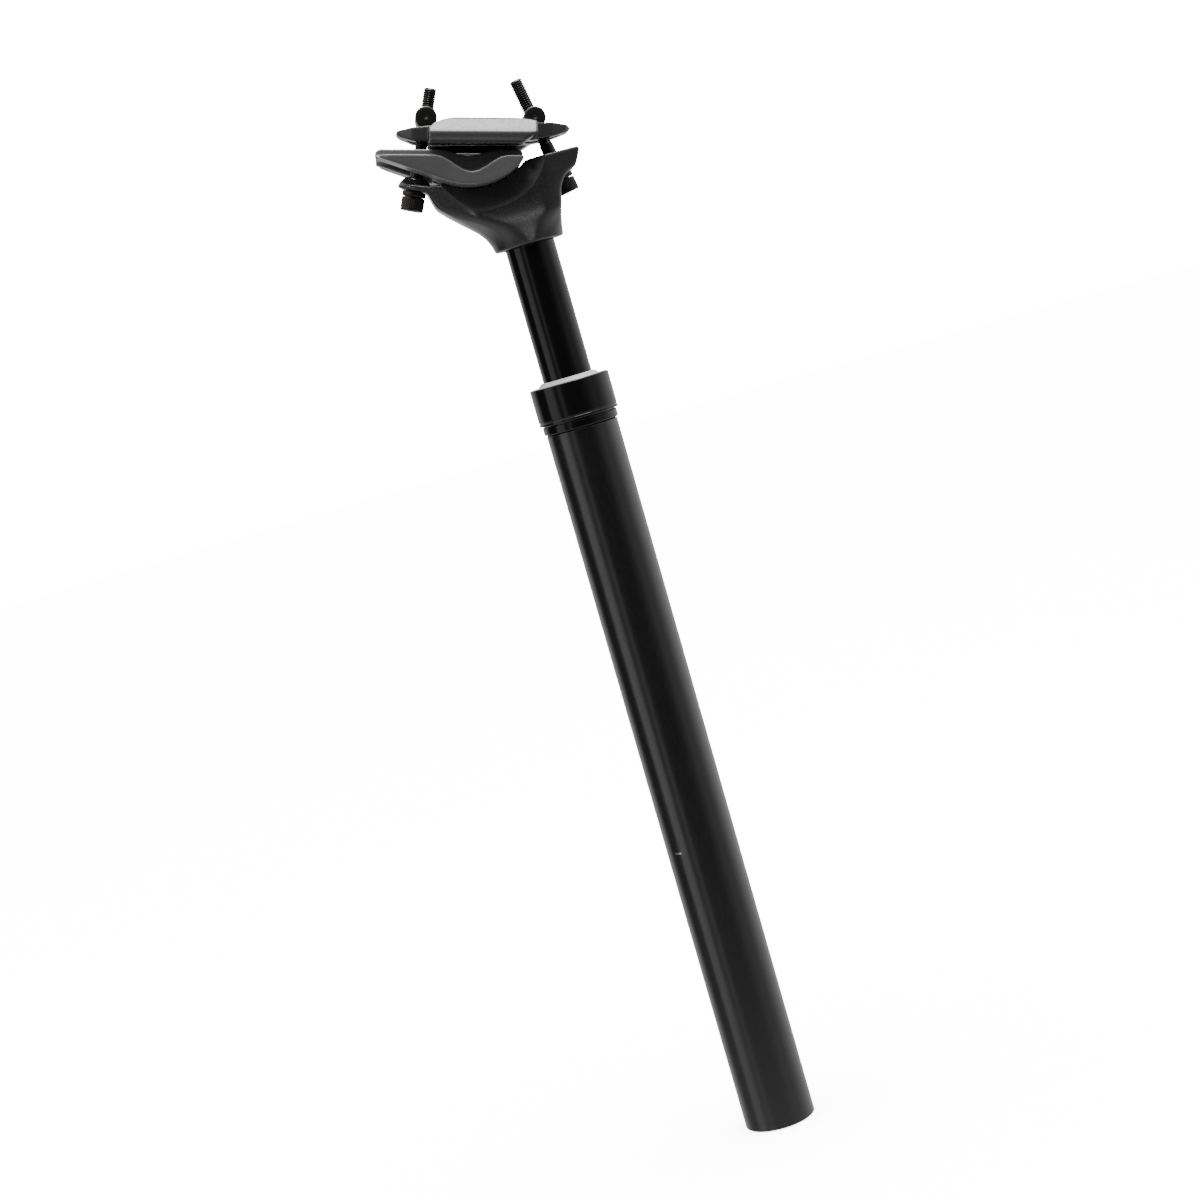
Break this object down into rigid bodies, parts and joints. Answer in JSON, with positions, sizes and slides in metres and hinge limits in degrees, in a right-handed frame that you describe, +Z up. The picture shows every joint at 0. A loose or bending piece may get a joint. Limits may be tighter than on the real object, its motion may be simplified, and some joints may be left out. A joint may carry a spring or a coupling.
{
  "type": "suspension seatpost",
  "caption": "Telescopic bicycle seatpost: a spring-loaded shaft slides in a long tube and carries a tilting two-screw clamp for saddle rails.",
  "frame": {"origin": "centre of the outer tube's bottom end", "axes": "+Z up the post, +X towards the front of the bicycle, +Y towards its left"},
  "size_m": [0.0728, 0.0548, 0.4096],
  "materials": {
    "anodised_tube": "satin black anodised, fine drawn grain",
    "polished_black": "gloss black, smooth",
    "forged_black": "satin black paint on a forging",
    "blackened_steel": "black oxide, slight oil sheen",
    "pale_nylon": "pale grey moulded nylon",
    "black_nylon": "black moulded nylon",
    "spring_steel": "grey phosphated steel",
    "bush_bronze": "plain bearing bronze",
    "elastomer_red": "red moulded elastomer",
    "rubber_black": "black rubber",
    "turned_alloy": "bare turned alloy"
  },
  "bodies": {
    "outer_tube": {"outer_tube": "anodised_tube", "lock_ring": "polished_black", "collar_nut": "polished_black", "wiper_seal": "pale_nylon", "upper_bushing": "black_nylon", "travel_spacer": "black_nylon", "topout_bumper": "rubber_black", "lower_elastomer": "elastomer_red", "spring_spacer": "black_nylon", "bumper_rod": "elastomer_red", "coil_spring": "spring_steel"},
    "preload_seat": {"preload_seat": "spring_steel"},
    "preload_plug": {"preload_plug": "turned_alloy"},
    "shaft": {"inner_shaft": "polished_black", "shaft_foot": "turned_alloy", "key_left": "bush_bronze", "key_right": "bush_bronze", "lower_bushing": "bush_bronze", "shaft_circlip": "spring_steel", "upper_spring_seat": "black_nylon", "head": "forged_black"},
    "clamp": {"lower_cradle": "forged_black", "upper_clamp": "forged_black"},
    "rear_nut": {"rear_nut": "blackened_steel"},
    "front_nut": {"front_nut": "blackened_steel"},
    "rear_washer": {"rear_washer": "blackened_steel"},
    "front_washer": {"front_washer": "blackened_steel"},
    "rear_bolt": {"rear_bolt": "blackened_steel"},
    "front_bolt": {"front_bolt": "blackened_steel"}
  },
  "joints": [
    {"name": "post_slide", "type": "slide", "parent": "outer_tube", "child": "shaft", "axis": [0, 0, -1], "range_m": [0, 0.04], "stiffness_N_per_m": 20000, "springref_m": -0.006, "deforming": ["coil_spring"]},
    {"name": "preload_travel", "type": "slide", "parent": "outer_tube", "child": "preload_seat", "axis": [0, 0, 1], "range_m": [0, 0.006], "deforming": ["lower_elastomer"]},
    {"name": "preload_turn", "type": "hinge", "parent": "preload_seat", "child": "preload_plug", "pos_m": [0, 0, 0], "axis": [0, 0, 1], "range_deg": [0, 1440]},
    {"name": "clamp_tilt", "type": "hinge", "parent": "shaft", "child": "clamp", "pos_m": [-0.0095, 0, 0.3948], "axis": [0, 1, 0], "range_deg": [-6, 6]},
    {"name": "rear_bolt_swing", "type": "hinge", "parent": "shaft", "child": "rear_washer", "pos_m": [-0.03522, 0, 0.37466], "axis": [0, 1, 0], "range_deg": [-0.8, 0.8]},
    {"name": "rear_bolt_spin", "type": "hinge", "parent": "rear_washer", "child": "rear_bolt", "pos_m": [-0.03522, 0, 0.37466], "axis": [0.4274, 0, 0.9041], "range_deg": [-694, 694]},
    {"name": "rear_nut_swivel", "type": "hinge", "parent": "clamp", "child": "rear_nut", "pos_m": [-0.02393, 0, 0.39852], "axis": [0, 1, 0], "range_deg": [-6.8, 6.8]},
    {"name": "front_bolt_swing", "type": "hinge", "parent": "shaft", "child": "front_washer", "pos_m": [0.01792, 0, 0.36615], "axis": [0, 1, 0], "range_deg": [-3.1, 3.1]},
    {"name": "front_bolt_spin", "type": "hinge", "parent": "front_washer", "child": "front_bolt", "pos_m": [0.01792, 0, 0.36615], "axis": [-0.1719, 0, 0.9851], "range_deg": [-1042, 1042]},
    {"name": "front_nut_swivel", "type": "hinge", "parent": "clamp", "child": "front_nut", "pos_m": [0.01412, 0, 0.38792], "axis": [0, 1, 0], "range_deg": [-9.1, 9.1]}
  ],
  "couplings": [
    {"joint": "preload_travel", "follows": "preload_turn", "m_per_rad": 0.00023873},
    {"joint": "rear_bolt_swing", "follows": "clamp_tilt", "ratio": -0.1058},
    {"joint": "rear_bolt_spin", "follows": "clamp_tilt", "ratio": 114.8},
    {"joint": "rear_nut_swivel", "follows": "clamp_tilt", "ratio": -1.1058},
    {"joint": "front_bolt_swing", "follows": "clamp_tilt", "ratio": -0.4879},
    {"joint": "front_bolt_spin", "follows": "clamp_tilt", "ratio": -172.82},
    {"joint": "front_nut_swivel", "follows": "clamp_tilt", "ratio": -1.4879}
  ]
}
